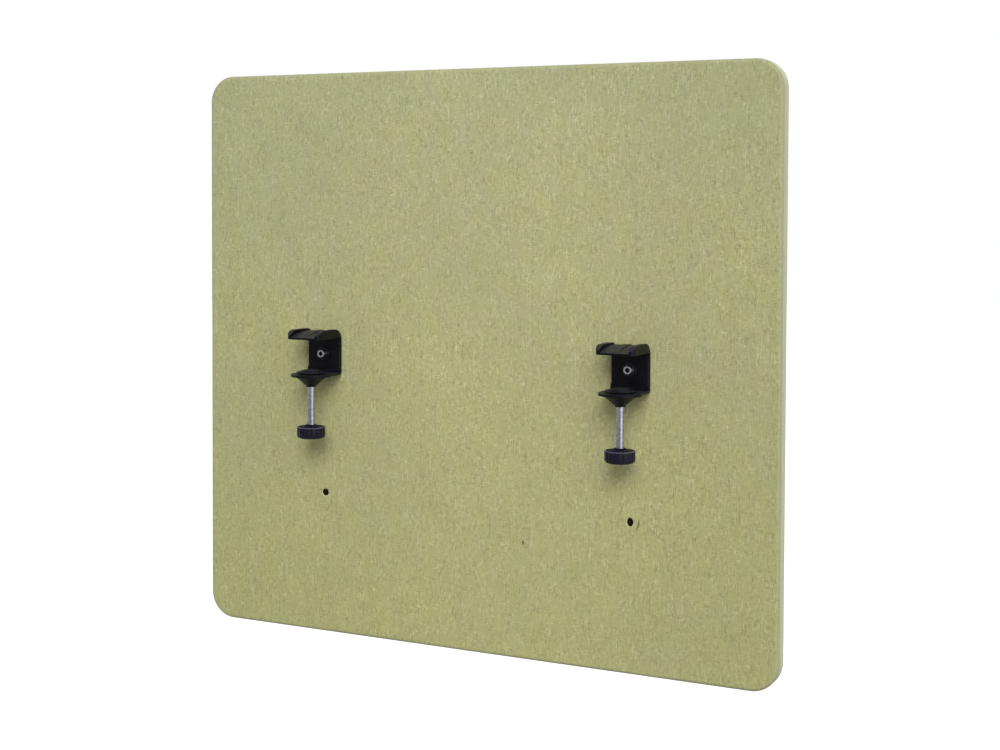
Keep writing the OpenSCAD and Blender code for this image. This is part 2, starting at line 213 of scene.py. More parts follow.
beech, shader = new_material("beech, pressed flutes", {"Roughness": 0.6, "Specular IOR Level": 0.35})
place = add(beech, "TexCoord")
grain = add(beech, "Mapping", {"Vector": place.outputs["Object"], "Scale": (1.0, 1.0, 0.08)})
# Pale pinkish brown, with short darker flecks drawn out along the grain.
flecks = add(beech, "TexNoise", {"Vector": grain, "Scale": 1 / (0.6 * mm), "Detail": 3.0})
colour = add(beech, "ValToRGB", {"Fac": flecks}, [(0.35, "#DDBE93"), (0.6, "#CFA878"), (0.75, "#A87B4E")])
feed(beech, shader, {"Base Color": colour, "Normal": add(beech, "Bump", {"Distance": 0.05 * mm, "Height": flecks})})

dowels = bmesh.new()
pin = turned(rounded([(0, -20, 0), (3, -20, 0.9), (3, 20, 0.9), (0, 20, 0)], 2), 36)
reshape(pin, lambda r, turn, height: r - (0.3 if r > 2.9 and groove(turn, 36) else 0))
put(dowels, pin, *[
    Matrix.Translation(((low.x + high.x) / 2, (low.y + high.y) / 2, z))
    for low, high in (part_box(n) for n in ("left_stile", "left_batten", "right_batten", "right_stile"))
    for z in (low.z, high.z)])
make_piece("fluted_dowels", dowels, beech, "screen", ["frame_dowels"])

# ---- Infill pads ----
# Three batts of bonded polyester fibre fill the bays of the frame and take up the sound. They are cut with a knife,
# so their faces are slightly crowned and their edges pull in, and the fibres give them a cloudy, matt surface.
polyester_batt, shader = new_material("bonded polyester fibre", {"Roughness": 0.95, "Specular IOR Level": 0.1,
                                                                 "Sheen Weight": 0.3})
place = add(polyester_batt, "TexCoord")
tangle = add(polyester_batt, "TexNoise", {"Vector": place.outputs["Object"], "Scale": 1 / (1.5 * mm), "Detail": 5.0,
                                          "Distortion": 2.0})
colour = add(polyester_batt, "ValToRGB", {"Fac": tangle}, [(0.3, "#C9C9C6"), (0.65, "#ECECEA")])
bump = add(polyester_batt, "Bump", {"Strength": 0.8, "Distance": 0.6 * mm, "Height": tangle})
feed(polyester_batt, shader, {"Base Color": colour, "Normal": bump})

# The squares of its faces, how far the rim sinks in and over what width, the lumps, and its play in the bay.
square, sunk, fade, lumps, play = 12 * mm, 1.6 * mm, 6 * mm, 0.35 * mm, 1.2 * mm
chance = random.Random(7)
for bay in ("left", "centre", "right"):
    low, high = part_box(bay + "_infill")
    size, middle = high - low, (low + high) / 2
    batt = bmesh.new()
    bmesh.ops.create_grid(batt, x_segments=round(size.x / square), y_segments=round(size.z / square), size=0.5)
    front = bmesh.ops.extrude_face_region(batt, geom=batt.faces[:])["geom"]
    for point in [g for g in front if isinstance(g, bmesh.types.BMVert)]:
        point.co.z = 1
    for point in batt.verts:
        edge = min(0.5 - abs(point.co.x), (0.5 - abs(point.co.y)) * size.z / size.x) * size.x
        sink = sunk * math.exp(-edge / fade) + chance.uniform(0, lumps)
        side = 1 if point.co.z > 0.5 else -1
        point.co = (middle.x + point.co.x * (size.x - play), middle.y + side * (size.y / 2 - sink),
                    middle.z + point.co.y * (size.z - play))
    bmesh.ops.recalc_face_normals(batt, faces=batt.faces)
    pad = make_piece(bay + "_batt", batt, polyester_batt, "screen", [bay + "_infill"])

# ---- Felt sheets ----
# Needled felt 2 mm thick is glued over both faces of the frame, so that no edge of it shows through the fabric. It is
# die cut 4 mm smaller than the panel all round, and the front one has a hole for the flange of each insert.
half_w, half_h, centre_z = 325 * mm, 300 * mm, -18.5 * mm
insert_x, bolt_z, spare_z = 175 * mm, -17.5 * mm, -167.5 * mm
insert_places = [(side * insert_x, z) for side in (-1, 1) for z in (bolt_z, spare_z)]
felt_inset, felt_corner, felt_thickness = 4 * mm, 24 * mm, 2 * mm
# The inserts' distances are whole numbers of cells.
cell = 12.5 * mm


def flat_blank(half_width, half_height, corner, y):
    """A blank with rounded corners in the XZ plane at y, facing the viewer."""
    blank = bmesh.new()
    bmesh.ops.create_grid(blank, x_segments=1, y_segments=1, size=1)
    bmesh.ops.transform(blank, verts=blank.verts, matrix=Matrix(
        ((half_width, 0, 0, 0), (0, 0, 0, y), (0, half_height, 0, centre_z), (0, 0, 0, 1))))
    bmesh.ops.bevel(blank, geom=blank.verts[:], offset=corner, affect="VERTICES", segments=12, profile=0.5, material=-1)
    bmesh.ops.recalc_face_normals(blank, faces=blank.faces)
    if blank.faces[:][0].normal.y > 0:
        bmesh.ops.reverse_faces(blank, faces=blank.faces)
    return blank


def slice_up(blank, cuts):
    """Cuts a blank at each plane (point, direction)."""
    for point, direction in cuts:
        bmesh.ops.bisect_plane(blank, geom=blank.verts[:] + blank.edges[:] + blank.faces[:], dist=0.001 * mm,
                               plane_co=point, plane_no=direction)


def grid_cuts():
    """Planes that make a grid of cells with every insert on a crossing."""
    cuts = [((k * cell, 0, 0), (1, 0, 0)) for k in range(-25, 26)]
    return cuts + [((0, 0, bolt_z + k * cell), (0, 0, 1)) for k in range(-24, 24)]


def punch(blank, x, z, rings, tall=1.0):
    """Opens the four cells round a place on the face and fills them with rings of (radius, push) down to the hole.

    The rings under 7.6 mm are drawn out upwards and narrowed, the smallest by the factor tall."""

    def opening():
        """The edges round the opened cells."""
        return [e for e in blank.edges if e.is_boundary and all(
            max(abs(p.co.x - x), abs(p.co.z - z)) < 1.01 * cell for p in e.verts)]

    front = min(point.co.y for point in blank.verts)
    middle = next(p for p in blank.verts if abs(p.co.x - x) + abs(p.co.z - z) < 0.01 * mm and p.co.y < front + 1 * mm)
    bmesh.ops.delete(blank, geom=[middle], context="VERTS")
    bmesh.ops.subdivide_edges(blank, edges=opening(), cuts=3)
    loop = opening()
    for radius, push in rings:
        made = bmesh.ops.extrude_edge_only(blank, edges=loop)["geom"]
        loop = [g for g in made if isinstance(g, bmesh.types.BMEdge)]
        for point in [g for g in made if isinstance(g, bmesh.types.BMVert)]:
            away = Vector((point.co.x - x, point.co.z - z)).normalized() * radius * mm
            drawn = 1 + (tall - 1) * max(0.0, min(1.0, (7.6 - radius) / 3.8))
            point.co = x + away.x / drawn, front + push * mm, z + away.y * drawn


felt, shader = new_material("needled felt", {"Roughness": 0.95, "Specular IOR Level": 0.1, "Sheen Weight": 0.25})
place = add(felt, "TexCoord")
# Needling leaves a matt, fuzzy face with a faint pattern of pricks 1.6 mm apart.
fuzz = add(felt, "TexNoise", {"Vector": place.outputs["Object"], "Scale": 1 / (0.8 * mm), "Detail": 4.0})
needling = add(felt, "TexVoronoi", {"Vector": place.outputs["Object"], "Scale": 1 / (1.6 * mm)})
height = add(felt, "Math", {0: needling, 1: 0.3, 2: fuzz}, operation="MULTIPLY_ADD")
colour = add(felt, "ValToRGB", {"Fac": fuzz}, [(0.3, "#BDBDB8"), (0.7, "#DEDEDA")])
feed(felt, shader, {"Base Color": colour,
                    "Normal": add(felt, "Bump", {"Strength": 0.7, "Distance": 0.3 * mm, "Height": height})})

for name, side, y in (("front_felt", -1, 11.2 * mm), ("rear_felt", 1, 29.2 * mm)):
    sheet = flat_blank(half_w - felt_inset, half_h - felt_inset, felt_corner, y)
    slice_up(sheet, grid_cuts())
    if side < 0:
        for x, z in insert_places:
            punch(sheet, x, z, [(8.5, 0), (6.3, 0)])
    else:
        bmesh.ops.reverse_faces(sheet, faces=sheet.faces)
    piece = make_piece(name + "_sheet", sheet, felt, "screen", [name])
    thick = piece.modifiers.new("Felt thickness", "SOLIDIFY")
    thick.thickness, thick.offset = felt_thickness, -1

# ---- Fabric covers ----
# The front and the rear half of the cover, of heathered olive grey polyester cloth, pulled over the felt and sewn to
# each other round the middle of the edges, where the seam draws them in. Cut out at the inserts. The yarns are spun of
# mixed shades, so single ones stand out pale or dark, in marks of about 5 mm and in streaks of up to 16 mm.
panel_front, panel_back, half_thick, cloth_thickness = 10.2 * mm, 30.2 * mm, 10 * mm, 0.9 * mm
edge_round, corner_round = 4 * mm, 28 * mm

cloth, shader = new_material("heathered polyester cloth", {
    "Roughness": 0.9, "Specular IOR Level": 0.15, "Sheen Weight": 0.12, "Sheen Roughness": 0.5,
    "Sheen Tint": linear("#E8E8C8")})
weave = add(cloth, "UVMap", uv_map="cloth")
apart = add(cloth, "SeparateXYZ", {"Vector": weave})
# Cloth like this has a yarn every 0.6 mm or so. They are drawn 1 mm apart, the finest that the render shows.
pitch = 1.0 * mm


def yarns(across, along, length):
    """A noise that only changes along each yarn, over a length in mm. Every yarn has its own row and start in it."""
    number = add(cloth, "Math", {0: add(cloth, "Math", {0: across, 1: pitch}, operation="DIVIDE")}, operation="FLOOR")
    # The starts are spread over 90 units of the noise and the rows lie 3.7 apart, too far for two yarns to look alike.
    start = add(cloth, "TexWhiteNoise", {"W": number}, noise_dimensions="1D")
    start = add(cloth, "Math", {0: start.outputs["Value"], 1: 90.0}, operation="MULTIPLY")
    way = add(cloth, "Math", {0: along, 1: 1 / (length * mm), 2: start}, operation="MULTIPLY_ADD")
    row = add(cloth, "Math", {0: number, 1: 3.7}, operation="MULTIPLY")
    return add(cloth, "TexNoise", {"Vector": add(cloth, "CombineXYZ", {"X": row, "Y": way}), "Scale": 1.0,
                                   "Detail": 0.0}, noise_dimensions="2D")


def patches(width, height, detail=0.0):
    """A cloudy noise with patches of a width and height in mm."""
    spread = add(cloth, "Mapping", {"Vector": weave, "Scale": (1 / (width * mm), 1 / (height * mm), 1)})
    return add(cloth, "TexNoise", {"Vector": spread, "Scale": 1.0, "Detail": detail}, noise_dimensions="2D")


def standing_out(run, light, dark, where):
    """Keeps only the ends of a noise, most in some places: pale yarns near 1, dark ones near -1, and 0 between."""
    soft = 0.1
    pale = add(cloth, "MapRange", {"Value": run, "From Min": light, "From Max": light + soft})
    deep = add(cloth, "MapRange", {"Value": run, "From Min": dark, "From Max": dark - soft})
    single = add(cloth, "Math", {0: pale, 1: deep}, operation="SUBTRACT")
    return add(cloth, "Math", {0: single, 1: add(cloth, "MapRange", {
        "Value": where, "From Min": 0.42, "From Max": 0.58, "To Min": 0.4, "To Max": 1.05})}, operation="MULTIPLY")


warp = standing_out(yarns(apart.outputs["X"], apart.outputs["Y"], 5), 0.58, 0.42, patches(9, 16))
streak = standing_out(yarns(apart.outputs["X"], apart.outputs["Y"], 16), 0.61, 0.39, patches(11, 30))
weft = standing_out(yarns(apart.outputs["Y"], apart.outputs["X"], 4.5), 0.61, 0.39, patches(14, 10))
fibre, cloud = patches(1.3, 2.6, 1.0), patches(34, 50, 1.0)
tone = 0.43
for noise, share in ((warp, 0.132), (streak, 0.08), (weft, 0.12), (fibre, 0.06), (cloud, 0.08)):
    tone = add(cloth, "Math", {0: noise, 1: share, 2: tone}, operation="MULTIPLY_ADD")
yarn = add(cloth, "ValToRGB", {"Fac": tone}, [
    (0.2, "#96966D"), (0.4, "#ACAB81"), (0.5, "#B5B487"), (0.6, "#BDBC90"), (0.8, "#D1D0AA")])
# The dye takes unevenly: a little greener or yellower in patches. Painted light and shade: lighter towards the top,
# darker towards the lower edge and both sides.
greener = add(cloth, "ValToRGB", {"Fac": patches(22, 30)}, [(0.3, "#FDFFFE"), (0.7, "#FFFEFD")])
yellower = add(cloth, "ValToRGB", {"Fac": patches(20, 26)}, [(0.3, "#FFFFF8"), (0.7, "#FEFEFF")])
# Painted light and shade by height: darker and yellower at the lower edge, lighter and bluer at the top.
height = add(cloth, "MapRange", {
    "Value": apart.outputs["Y"], "From Min": centre_z - half_h, "From Max": centre_z + half_h})
painted_light_by_height = add(cloth, "ValToRGB", {"Fac": height}, [(0.0, "#F3F2E1"), (0.5, "#FBFAF2"), (1.0, "#FBFCFE")])
# Painted shade towards both sides: the cloth is lightest a little right of the middle.
width = add(cloth, "MapRange", {"Value": apart.outputs["X"], "From Min": -half_w, "From Max": half_w})
painted_shade_at_sides = add(cloth, "ValToRGB", {"Fac": width}, [
    (0.0, "#F2F4F3"), (0.3, "#FAFAFA"), (0.5, "#FFFFFF"), (0.66, "#FFFFFF"), (0.85, "#F8F8F8"), (1.0, "#F6F7F6")])
shade = yarn
for tint in (greener, yellower, painted_light_by_height, painted_shade_at_sides):
    shade = add(cloth, "Mix", {"Factor": 1.0, "A": shade, "B": tint}, data_type="RGBA", blend_type="MULTIPLY")
# Painted light and shade round the edge: the bend is painted greyer as shade; beyond it a pale band is painted as the
# lit rounding, and the fold between the two halves is painted greyer again, as shade in the seam.
place = add(cloth, "SeparateXYZ", {"Vector": add(cloth, "TexCoord").outputs["Object"]})
behind = add(cloth, "Math", {0: place.outputs["Y"], 1: (panel_front + panel_back) / 2}, operation="SUBTRACT")
in_front = add(cloth, "Math", {0: behind, 1: 0.0}, operation="LESS_THAN")
from_middle = add(cloth, "Math", {0: behind}, operation="ABSOLUTE")
for begins, ends, strength, colour in (
        (10.0, 9.3, 0.6, "#9C9E80"), (7.6, 3.8, 0.85, "#D0D2B0"), (4.2, 2.4, 0.8, "#BEBCAB")):
    painted_edge_shading = add(cloth, "MapRange", {
        "Value": from_middle, "From Min": begins * mm, "From Max": ends * mm, "To Max": strength})
    shade = add(cloth, "Mix", {"Factor": painted_edge_shading, "A": shade, "B": linear(colour)}, data_type="RGBA")
# One dark slub in the front cloth, 2 mm wide and 5 mm high.
slub_x, slub_z, slub_w, slub_h = 59.3 * mm, -199 * mm, 1.1 * mm, 2.6 * mm
spot = add(cloth, "Mapping", {"Vector": weave, "Location": (-slub_x / slub_w, -slub_z / slub_h, 0),
                              "Scale": (1 / slub_w, 1 / slub_h, 1)})
near = add(cloth, "VectorMath", {0: spot}, operation="LENGTH")
slub = add(cloth, "MapRange", {"Value": near.outputs["Value"], "From Min": 1.2, "From Max": 0.7, "To Max": in_front})
shade = add(cloth, "Mix", {"Factor": slub, "A": shade, "B": linear("#5F5F2D")}, data_type="RGBA")
# To the right of the right spare hole a short dark arc of painted shade lies on the cloth.
arc_radius, arc_half = 8.6 * mm, 1.35 * mm
round_hole = add(cloth, "Mapping", {"Vector": weave, "Location": (-insert_x, -spare_z, 0)})
reach = add(cloth, "VectorMath", {0: round_hole}, operation="LENGTH")
ring = add(cloth, "Math", {0: reach.outputs["Value"], 1: arc_radius, 2: arc_half}, operation="COMPARE")
right_of = add(cloth, "VectorMath", {0: round_hole, 1: (0.98, -0.19, 0)}, operation="DOT_PRODUCT")
beside = add(cloth, "MapRange", {"Value": right_of.outputs["Value"], "From Min": 7.6 * mm, "From Max": 8.3 * mm,
                                 "To Max": 0.78})
painted_arc_shade = add(cloth, "Math", {0: ring, 1: beside}, operation="MULTIPLY")
painted_arc_shade = add(cloth, "Math", {0: painted_arc_shade, 1: in_front}, operation="MULTIPLY")
shade = add(cloth, "Mix", {"Factor": painted_arc_shade, "A": shade, "B": linear("#5A5630")}, data_type="RGBA")
# Round the cut holes a pale ring is painted as a highlight on the cut rim.
for side in (-1, 1):
    round_hole = add(cloth, "Mapping", {"Vector": weave, "Location": (side * insert_x, -spare_z, 0)})
    reach = add(cloth, "VectorMath", {0: round_hole}, operation="LENGTH")
    painted_rim_highlight = add(cloth, "MapRange", {"Value": reach.outputs["Value"], "From Min": 4.8 * mm, "From Max": 4.2 * mm,
                                     "To Max": 0.4})
    painted_rim_highlight = add(cloth, "Math", {0: painted_rim_highlight, 1: in_front}, operation="MULTIPLY")
    shade = add(cloth, "Mix", {"Factor": painted_rim_highlight, "A": shade, "B": linear("#D2D2BC")}, data_type="RGBA")
# Plain weave: a yarn lifts at every other crossing.
over = [add(cloth, "Math", {0: add(cloth, "Math", {0: apart.outputs[axis], 1: math.pi / pitch}, operation="MULTIPLY")},
            operation="SINE") for axis in ("X", "Y")]
crossing = add(cloth, "Math", {0: over[0], 1: over[1]}, operation="MULTIPLY")
relief = add(cloth, "Math", {0: crossing, 1: 0.25, 2: tone}, operation="MULTIPLY_ADD")
bump = add(cloth, "Bump", {"Strength": 0.4, "Distance": 0.25 * mm, "Height": relief})
feed(cloth, shader, {"Base Color": shade, "Normal": bump})


def outward(x, z):
    """The direction out of the panel's rounded outline at a place near its edge."""
    past = Vector((abs(x) - (half_w - corner_round), abs(z - centre_z) - (half_h - corner_round)))
    if past.x > 0 and past.y > 0:
        away = past.normalized()
    else:
        away = Vector((1, 0)) if past.x - past.y > 0 else Vector((0, 1))
    return Vector((math.copysign(away.x, x), math.copysign(away.y, z - centre_z)))


def ripple(x, z):
    """How far the stretched cloth lies behind the true face, in mm: long shallow waves from the stretching."""
    return 0.12 + 0.06 * math.sin(x * 31 + 2 * math.sin(z * 13)) + 0.06 * math.sin(z * 23 + x * 9)


# The cloth rises a little towards a hole and turns in at its rim. It has no waves within 12 mm of it.
hole_rings = [(9.5, 0), (7.6, 0.05), (6.6, -0.15), (5.6, -0.2), (4.8, -0.12), (4.1, 0.05), (3.7, 0.55)]
level_round_holes = 12 * mm
# The seam draws the cloth in by 0.8 mm, from 8 mm behind the face on, where three more rows of points follow the bend.
fold, fold_starts, fold_rows = 0.8 * mm, 8 * mm, (7.5, 9, 9.6)
for name, face, side in (("front", panel_front, -1), ("rear", panel_back, 1)):
    cover = flat_blank(half_w, half_h, corner_round, face)
    if side > 0:
        bmesh.ops.reverse_faces(cover, faces=cover.faces)
    face_edges = cover.edges[:]
    made = bmesh.ops.extrude_edge_only(cover, edges=face_edges)["geom"]
    bmesh.ops.translate(cover, verts=[g for g in made if isinstance(g, bmesh.types.BMVert)],
                        vec=(0, -side * half_thick, 0))
    bmesh.ops.bevel(cover, geom=face_edges, offset=edge_round, affect="EDGES", segments=6, profile=0.5, material=-1)
    slice_up(cover, [((0, face - side * d * mm, 0), (0, 1, 0)) for d in fold_rows])
    slice_up(cover, grid_cuts())
    if side < 0:
        for x, z in insert_places:
            # The cloth pulls the right spare hole a little taller.
            punch(cover, x, z, hole_rings, tall=1.14 if (x > 0 and z == spare_z) else 1.0)
    bmesh.ops.recalc_face_normals(cover, faces=cover.faces)
    # On an open shell the recalculated normals may all point inwards.
    if sum(f.normal.y * f.calc_area() for f in cover.faces) * side < 0:
        bmesh.ops.reverse_faces(cover, faces=cover.faces)
    uv = cover.loops.layers.uv.new("cloth")
    for point in cover.verts:
        depth = max(0.0, side * (face - point.co.y))
        away = outward(point.co.x, point.co.z)
        turn = math.acos(max(0.0, 1 - depth / edge_round))
        extra = edge_round * (turn - math.sin(turn)) + max(0.0, depth - edge_round)
        place = Vector((point.co.x, point.co.z)) + (away * extra if depth > 0.02 * mm else Vector((0, 0)))
        for corner in point.link_loops:
            corner[uv].uv = place
        draw_in = fold * max(0.0, (depth - fold_starts) / (half_thick - fold_starts)) ** 3
        point.co.x -= away.x * draw_in
        point.co.z -= away.y * draw_in
        if depth < 0.02 * mm and all(
                math.hypot(point.co.x - x, point.co.z - z) > level_round_holes for x, z in insert_places):
            point.co.y -= side * ripple(point.co.x, point.co.z) * mm
    piece = make_piece(name + "_fabric", cover, cloth, "screen", [name + "_cover"], sharp=60)
    thick = piece.modifiers.new("Cloth thickness", "SOLIDIFY")
    thick.thickness, thick.offset = cloth_thickness, -1

# ---- Cover seam ----
# The two halves are closed with a ladder stitch of polyester thread, 4 mm to a stitch, that lies in the fold between
# them all the way round the edge.
thread, shader = new_material("spun polyester thread", {"Roughness": 0.7, "Specular IOR Level": 0.25,
                                                        "Sheen Weight": 0.2})
place = add(thread, "TexCoord")
# Matt and greyer than the cloth, with the twist showing as small darker spots.
twist = add(thread, "TexNoise", {"Vector": place.outputs["Object"], "Scale": 1 / (0.4 * mm), "Detail": 2.0})
colour = add(thread, "ValToRGB", {"Fac": twist}, [(0.35, "#93927A"), (0.65, "#B4B29C")])
feed(thread, shader, {"Base Color": colour, "Normal": add(thread, "Bump", {"Distance": 0.1 * mm, "Height": twist})})

# Each stitch is a slim bead, 3.2 mm long, that lies 0.45 mm within the panel's outline.
stitch_every, stitch_depth = 4 * mm, 0.45 * mm
seam = bmesh.new()
stitch = bmesh.new()
bmesh.ops.create_uvsphere(stitch, u_segments=6, v_segments=5, radius=1)
bmesh.ops.scale(stitch, verts=stitch.verts, vec=(0.3 * mm, 0.45 * mm, 1.6 * mm))
straight = [2 * (half_w - corner_round), 2 * (half_h - corner_round)]
bend = math.pi / 2 * corner_round
round_trip = 2 * sum(straight) + 4 * bend
count = round(round_trip / stitch_every)
places = []
for k in range(count):
    run = round_trip * k / count
    quarter = 0
    while run > straight[quarter % 2] + bend:
        run -= straight[quarter % 2] + bend
        quarter += 1
    long, wide = (half_w, half_h) if quarter % 2 == 0 else (half_h, half_w)
    swing = max(0.0, run - straight[quarter % 2]) / corner_round
    along = min(run, straight[quarter % 2]) - (long - corner_round)
    spot = Vector((along + (corner_round - stitch_depth) * math.sin(swing),
                   -(wide - corner_round) - (corner_round - stitch_depth) * math.cos(swing)))
    spot.rotate(Matrix.Rotation(quarter * math.pi / 2, 2))
    heading = swing + quarter * math.pi / 2
    places.append(Matrix.Translation((spot.x, (panel_front + panel_back) / 2, centre_z + spot.y))
                  @ Matrix.Rotation(-heading + math.pi / 2, 4, "Y") @ Matrix.Rotation(0.25, 4, "X"))
put(seam, stitch, *places)
make_piece("cover_seam", seam, thread, "screen")

# ---- Threaded inserts ----
# Steel inserts with a knurled barrel and a 12 mm flange, pressed into the battens, yellow zinc plated. The lower two
# are spare: their M5 threads show as the two bare holes.


def helix(root, crest, lead, low, high, steps):
    """A right-hand thread about the Z axis, in mm: one turn spun and repeated, cut flat and closed at both ends."""
    turn = bmesh.new()
    line = [turn.verts.new((r * mm, 0, share * lead * mm)) for r, share in (
        (root, 0.0), (root, 0.04), (crest, 0.2), (crest, 0.85), (root, 1.0))]
    edges = [turn.edges.new(pair) for pair in zip(line, line[1:])]
    bmesh.ops.spin(turn, geom=line + edges, axis=(0, 0, 1), cent=(0, 0, 0), angle=math.tau,
                   dvec=(0, 0, lead * mm / steps), steps=steps, use_merge=False)
    part = bmesh.new()
    put(part, turn, *[Matrix.Translation((0, 0, (low + (k - 2) * lead) * mm))
                      for k in range(math.ceil((high - low) / lead) + 3)])
    bmesh.ops.remove_doubles(part, verts=part.verts, dist=0.002 * mm)
    for height, direction in ((low, -1), (high, 1)):
        bmesh.ops.bisect_plane(part, geom=part.verts[:] + part.edges[:] + part.faces[:], dist=0.0001 * mm,
                               plane_co=(0, 0, height * mm), plane_no=(0, 0, direction), clear_outer=True)
        rim = [e for e in part.edges if e.is_boundary and all(abs(p.co.z - height * mm) < 0.002 * mm for p in e.verts)]
        bmesh.ops.contextual_create(part, geom=rim)
    bmesh.ops.recalc_face_normals(part, faces=part.faces)
    return part


yellow_zinc_in_painted_shade, shader = new_material("yellow zinc plating", {"Metallic": 1.0})
place = add(yellow_zinc_in_painted_shade, "TexCoord")
# The plating is painted a dark, cloudy brass colour, as painted shade for the insides of the holes.
bloom = add(yellow_zinc_in_painted_shade, "TexNoise", {"Vector": place.outputs["Object"], "Scale": 1 / (2 * mm), "Detail": 3.0})
colour = add(yellow_zinc_in_painted_shade, "ValToRGB", {"Fac": bloom}, [(0.35, "#37311D"), (0.55, "#453E25"), (0.7, "#3F3A29")])
rough = add(yellow_zinc_in_painted_shade, "MapRange", {"Value": bloom, "To Min": 0.3, "To Max": 0.5})
feed(yellow_zinc_in_painted_shade, shader, {"Base Color": colour, "Roughness": rough})

facing_viewer = Matrix.Rotation(math.pi / 2, 4, "X")
bore, flange_face = 2.55, 11.8 * mm
for name, z in (("clamp_inserts", bolt_z), ("spare_inserts", spare_z)):
    seats = [Matrix.Translation((side * insert_x, flange_face, z)) @ facing_viewer for side in (-1, 1)]
    # The bore's mouth, the flange, the collar behind it, the knurled barrel and its chamfered end.
    barrel = turned(rounded([
        (bore, 0, 0.35), (6, 0, 0.3), (6, -1.4, 0.2), (4.5, -1.4, 0), (4.5, -2.2, 0), (4.5, -12.6, 0),
        (4.5, -13.35, 0.5), (bore, -13.35, 0.2)], 3), 72, ring=True)
    reshape(barrel, lambda r, turn, height: r - (
        0.28 if 4 < r < 4.6 and height < -2 and groove(turn, 72) else 0))
    inserts = bmesh.new()
    put(inserts, barrel, *seats)
    if z == spare_z:
        # The thread's ridge winds up through the whole bore.
        turns, steps, lead = 15, 24, 0.8
        ridge = bmesh.new()
        line = [ridge.verts.new((r * mm, 0, h * mm)) for r, h in (
            (2.56, -13.0), (2.12, -12.75), (2.12, -12.65), (2.56, -12.4))]
        edges = [ridge.edges.new(pair) for pair in zip(line, line[1:])]
        bmesh.ops.spin(ridge, geom=line + edges, axis=(0, 0, 1), cent=(0, 0, 0), angle=math.tau * turns,
                       dvec=(0, 0, lead * mm / steps), steps=turns * steps, use_merge=False)
        bmesh.ops.recalc_face_normals(ridge, faces=ridge.faces)
        put(inserts, ridge, *seats)
    make_piece(name.replace("_inserts", "_threaded_inserts"), inserts, yellow_zinc_in_painted_shade, "screen", [name])

# ---- Clamp brackets ----
# Each is one die casting: a back plate, a ribbed upper jaw that rests on the desk, and a lower jaw whose boss carries
# the clamp screw. Tumbled, so its edges are soft, and powder coated black with a satin, slightly pebbled skin.
powder_coat, shader = new_material("satin black powder coat", {"Specular IOR Level": 0.16})
place = add(powder_coat, "TexCoord")
pebble = add(powder_coat, "TexNoise", {"Vector": place.outputs["Object"], "Scale": 1 / (0.7 * mm), "Detail": 2.0})
dust = add(powder_coat, "TexNoise", {"Vector": place.outputs["Object"], "Scale": 1 / (9 * mm), "Detail": 4.0})
colour = add(powder_coat, "ValToRGB", {"Fac": dust}, [(0.35, "#08080C"), (0.65, "#0D0D14")])
# What faces up is painted a lighter grey, as painted light from above.
faces_up = add(powder_coat, "SeparateXYZ", {"Vector": place.outputs["Normal"]})
painted_top_light = add(powder_coat, "MapRange", {"Value": faces_up.outputs["Z"], "From Min": 0.35, "From Max": 0.9})
colour = add(powder_coat, "Mix", {"Factor": painted_top_light, "A": colour, "B": linear("#2A2A34")}, data_type="RGBA")
rough = add(powder_coat, "MapRange", {"Value": dust, "To Min": 0.34, "To Max": 0.5})
bump = add(powder_coat, "Bump", {"Strength": 0.35, "Distance": 0.05 * mm, "Height": pebble})
feed(powder_coat, shader, {"Base Color": colour, "Roughness": rough, "Normal": bump})

for side in ("left", "right"):
    casting = bmesh.new()
    casting.from_mesh(nodes[side + "_bracket"].data)
    bmesh.ops.remove_doubles(casting, verts=casting.verts, dist=0.002 * mm)
    bmesh.ops.dissolve_limit(casting, verts=casting.verts, edges=casting.edges, angle_limit=math.radians(1))
    casting_piece = make_piece(side + "_casting", casting, powder_coat, "screen", [side + "_bracket"])
    soft = casting_piece.modifiers.new("Tumbled edges", "BEVEL")
    soft.width, soft.segments, soft.limit_method, soft.angle_limit = 0.7 * mm, 3, "ANGLE", math.radians(35)
    soft.harden_normals = True

# ---- Clamp fixing screws ----
# Two M5 x 16 socket head cap screws of bright zinc plated steel hold each bracket to its insert. Their heads have a
# straight knurl and a 4 mm hexagon socket, and stop the desk's edge.
bright_zinc, shader = new_material("bright zinc plating", {"Metallic": 1.0})
place = add(bright_zinc, "TexCoord")
# A pale bluish metal with soft, slightly cloudy reflections.
bloom = add(bright_zinc, "TexNoise", {"Vector": place.outputs["Object"], "Scale": 1 / (4 * mm), "Detail": 2.0})
colour = add(bright_zinc, "ValToRGB", {"Fac": bloom}, [(0.3, "#B2B2BE"), (0.7, "#C8C8D4")])
# Within 2.5 mm of the fixing screws' axes, in the sockets, the metal is painted dark as shade in the recess.
spot = add(bright_zinc, "SeparateXYZ", {"Vector": place.outputs["Object"]})
beside = add(bright_zinc, "Math", {0: add(bright_zinc, "Math", {0: spot.outputs["X"]}, operation="ABSOLUTE"),
                                   1: insert_x}, operation="SUBTRACT")
above = add(bright_zinc, "Math", {0: spot.outputs["Z"], 1: bolt_z}, operation="SUBTRACT")
from_axis = add(bright_zinc, "VectorMath", {0: add(bright_zinc, "CombineXYZ", {"X": beside, "Y": above})},
                operation="LENGTH")
inside = add(bright_zinc, "MapRange", {"Value": from_axis.outputs["Value"], "From Min": 2.5 * mm, "From Max": 2.1 * mm})
colour = add(bright_zinc, "Mix", {"Factor": inside, "A": colour, "B": linear("#232326")}, data_type="RGBA")
rough = add(bright_zinc, "MapRange", {"Value": bloom, "To Min": 0.2, "To Max": 0.34})
feed(bright_zinc, shader, {"Base Color": colour, "Roughness": rough})

